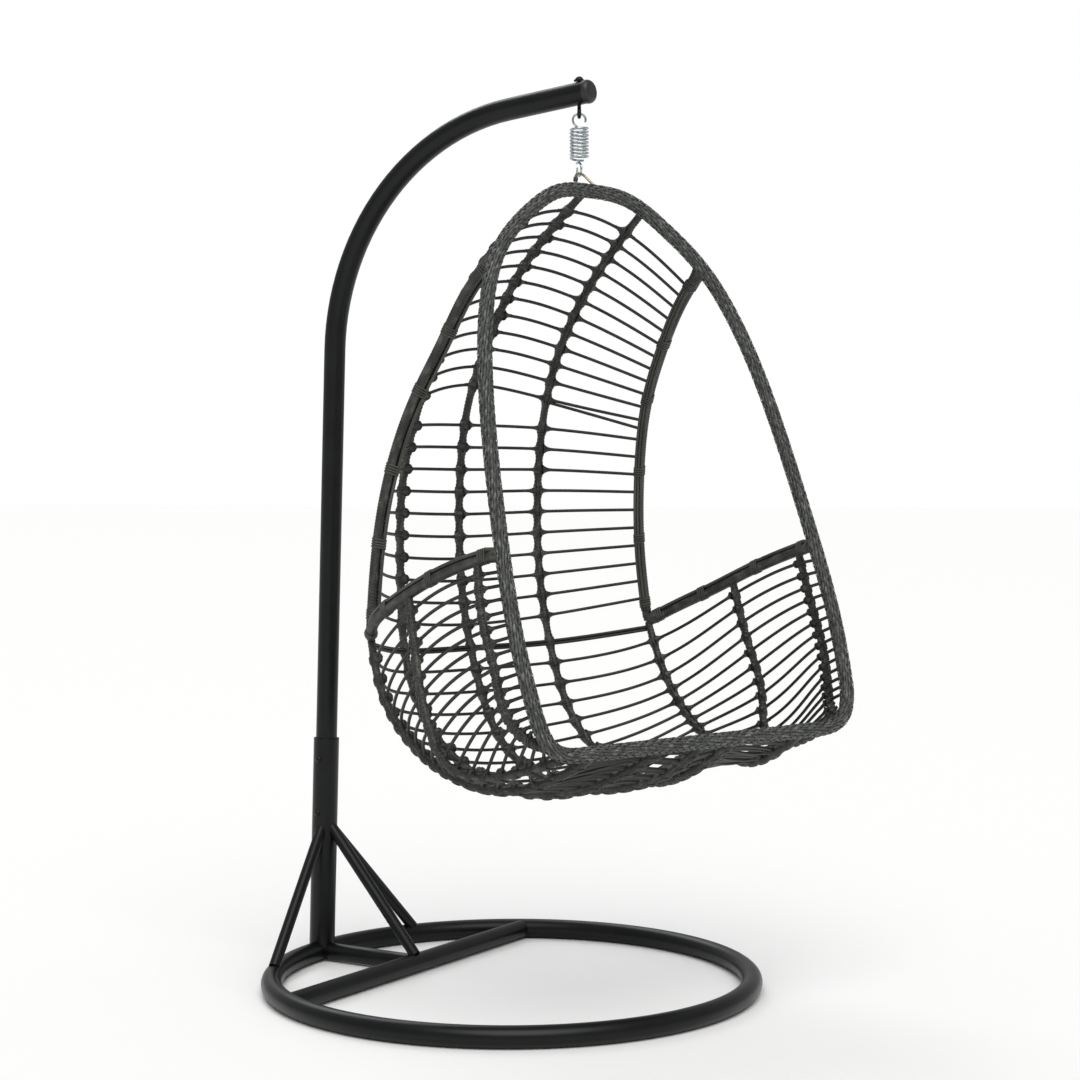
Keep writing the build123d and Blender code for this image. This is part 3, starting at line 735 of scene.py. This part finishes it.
def member_binding(guide, place, toward, cane_offsets, cane_radius):
    """Turns of flat strip round the tube and its canes, as (line, outward) pairs."""
    local = guide_path(guide)
    i = int(place * (len(local) - 1))
    tangent = unit(local[min(i + 1, len(local) - 1)] - local[i - 1])
    face = toward(local[i])
    face = unit(face - tangent * face.dot(tangent))
    side = np.cross(tangent, face)
    tube, cane = FRAME_RADIUS / MM, cane_radius / MM
    circles = [(0, 0, tube + 0.3)] + [(x, tube + cane, cane + 0.2) for x in cane_offsets]
    outline = []
    for t in np.linspace(0, 2 * np.pi, 36, endpoint=False):
        x, y, r = max(circles, key=lambda c: c[0] * math.cos(t) + c[1] * math.sin(t) + c[2])
        outline.append((x + r * math.cos(t), y + r * math.sin(t)))
    outline = even(np.array([(x, y, 0) for x, y in outline + outline[:1]]), 3.0)[:-1, :2]
    turns = []
    for k in range(BINDING_TURNS):
        shift = (k - (BINDING_TURNS - 1) / 2) * BINDING_STEP
        centre = local[i] + tangent * shift
        lean = np.sin(np.linspace(0, 2 * np.pi, len(outline), endpoint=False)) * 1.4
        line = centre + side * outline[:, :1] + face * outline[:, 1:] + tangent * lean[:, None]
        out = line - (centre + face * tube * 0.5)
        turns.append((to_world(line), to_world(line + out) - to_world(line)))
    return turns


def uprights_and_armrests():
    cane, arm_cane = 2 * CANE_RADIUS / MM, 2 * ARM_CANE_RADIUS / MM
    for side, name in ((-1, "left"), (1, "right")):
        upright = UPRIGHT if side > 0 else mirrored(UPRIGHT)
        armrest = ARMREST if side > 0 else mirrored(ARMREST)
        bands = frame_member(
            upright, f"upright_{name}", inward, (-cane, 0, cane), CANE_RADIUS,
            (0.0,), UPRIGHT_BINDINGS
        )
        bands += frame_member(
            armrest, f"armrest_{name}", upwards, (-arm_cane * 0.52, arm_cane * 0.52), ARM_CANE_RADIUS,
            (1.0,), ARMREST_BINDINGS
        )
        builder = Builder()
        for turns in bands:
            for line, out in turns:
                builder.strip(line, out, 0.0045, 0.0016, True, RANDOM.random() * 40)
        builder.piece(f"bindings_{name}_turns", CANE, replaces=[f"bindings_{name}"])


def hanging_loop():
    """The wound part of one leg of the steel loop on top of the rim."""
    foot = to_world((-29, -20, 1723))
    shoulder = to_world((-9, 0, 1750))
    builder = Builder()
    line = np.linspace(foot + (shoulder - foot) * 0.22, foot + (shoulder - foot) * 0.66, 40)
    rope(builder, line, 0.0052, 0.0045, 0.0009, sides=14)
    builder.piece("hanging_loop_winding", WRAP, replaces=["hanging_loop_wrap"])


# ---------------------------------------------------------------- spring and stand
def spring_coil():
    """The coil runs from the upper hook's body to the lower hook's."""
    height = SPRING_TURNS * SPRING_PITCH
    t = np.linspace(0, 1, SPRING_TURNS * 40 + 1)
    angle = 2 * np.pi * SPRING_TURNS * t
    ease = np.clip(np.minimum(t, 1 - t) * SPRING_TURNS, 0, 1)
    radius = SPRING_RADIUS - 0.0004 * (1 - ease)
    bottom = SPRING_TOP - height
    path = np.stack([radius * np.cos(angle), HANG_Y + radius * np.sin(angle), bottom + height * t], 1)
    builder = Builder()
    builder.tube(path, SPRING_WIRE, 14)
    coil = builder.piece("spring_coil_wire", ZINC, body=None, replaces=["spring_coil"])
    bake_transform(coil)


def weld_bead(name, centre, axis, radius, wire=0.0024):
    """A rippled weld round a joint."""
    axis = unit(np.asarray(axis, float))
    helper = np.array([0.0, 0.0, 1.0]) if abs(axis[2]) < 0.9 else np.array([1.0, 0.0, 0.0])
    a = unit(np.cross(axis, helper))
    b = np.cross(axis, a)
    t = np.linspace(0, 2 * np.pi, 96, endpoint=False)
    ring = np.asarray(centre) + radius * (np.cos(t)[:, None] * a + np.sin(t)[:, None] * b)
    builder = Builder()
    builder.tube(ring, wire * (1 + 0.18 * np.sin(t * 24) + 0.08 * np.sin(t * 7)), 8, closed=True)
    return builder.piece(name, POWDER, body="stand")


def stand():
    for node in ("base_ring", "base_crossbar", "base_strut", "post_socket", "brace_left", "brace_right",
                 "brace_front", "mast", "socket_screws", "eye_bolt", "eye_bolt_nut"):
        paint(node, POWDER)
    paint("mast_end_cap", CAP)
    for node in ("spring_top_hook", "spring_lower_hook"):
        paint(node, ZINC)
    paint("hanging_loop", YELLOW_ZINC)
    for node in ("upright_left_tube", "upright_right_tube", "armrest_left_tube", "armrest_right_tube"):
        paint(node, WRAP)
    socket_low, socket_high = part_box("post_socket")
    lean = Vector((0, -math.sin(MAST_LEAN), math.cos(MAST_LEAN)))
    top_centre = (0, socket_low[1] + SOCKET_RADIUS, socket_high[2] - 0.001)
    weld_bead("socket_top_lip", top_centre, lean, 0.0272, 0.0017)


def paint(node, material):
    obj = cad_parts[node]
    obj.data.materials.clear()
    obj.data.materials.append(material)


# ---------------------------------------------------------------- stage
def turned(first, second, angle):
    """Two perpendicular directions, turned in their plane from the first towards the second."""
    c, s = math.cos(angle), math.sin(angle)
    return first * c + second * s, second * c - first * s


def camera():
    """Long lens from the front left, a little under the seat's middle, looking slightly down."""
    heading, pan, pitch, roll = math.radians(-57.2007), 0.013177, 0.024469, -0.0011688
    forward = Vector((-math.sin(heading), math.cos(heading), 0))
    right = Vector((math.cos(heading), math.sin(heading), 0))
    up = Vector((0, 0, 1))
    forward, right = turned(forward, right, pan)
    forward, up = turned(forward, up, -pitch)
    right, up = turned(right, up, roll)
    data = bpy.data.cameras.new("camera")
    data.lens = 72.43
    data.sensor_width = 36
    obj = bpy.data.objects.new("camera", data)
    place = Vector((-3.954, -2.548, 1.0878))
    obj.matrix_world = Matrix.Translation(place) @ Matrix((right, up, -forward)).transposed().to_4x4()
    bpy.context.scene.collection.objects.link(obj)
    bpy.context.scene.camera = obj


def sun(name, direction, strength, spread, color):
    data = bpy.data.lights.new(name, "SUN")
    data.energy = strength
    data.angle = math.radians(spread)
    data.color = color
    obj = bpy.data.objects.new(name, data)
    obj.rotation_euler = Vector(direction).to_track_quat("-Z", "Y").to_euler()
    bpy.context.scene.collection.objects.link(obj)


def studio_world():
    """White behind the object, and dimmer where it only lights the object."""
    world = bpy.data.worlds.new("studio")
    world.use_nodes = True
    tree = world.node_tree
    background = tree.nodes["Background"]
    background.inputs["Color"].default_value = (1, 1, 1, 1)
    path = tree.nodes.new("ShaderNodeLightPath")
    level = tree.nodes.new("ShaderNodeMapRange")
    level.inputs["To Min"].default_value = AMBIENT
    level.inputs["To Max"].default_value = 1.0
    tree.links.new(path.outputs["Is Camera Ray"], level.inputs["Value"])
    tree.links.new(level.outputs["Result"], background.inputs["Strength"])
    bpy.context.scene.world = world


def stage():
    bpy.ops.mesh.primitive_plane_add(size=200, location=(0, 0, 0))
    floor = bpy.context.object
    floor.name = "floor"
    material, _ = new_material("pale_floor", (0.97, 0.97, 0.97), 0.95)
    floor.data.materials.append(material)
    studio_world()
    sun("key", (0.55, 0.45, -1.0), 1.9, 50, (1.0, 0.99, 0.97))
    sun("rim", (-0.5, -0.7, -0.9), 0.6, 30, (0.95, 0.98, 1.0))
    bpy.context.scene.view_settings.view_transform = "Standard"


camera()
stage()
rods()
foot_rods()
ribs()
knots()
rim()
uprights_and_armrests()
hanging_loop()
spring_coil()
stand()
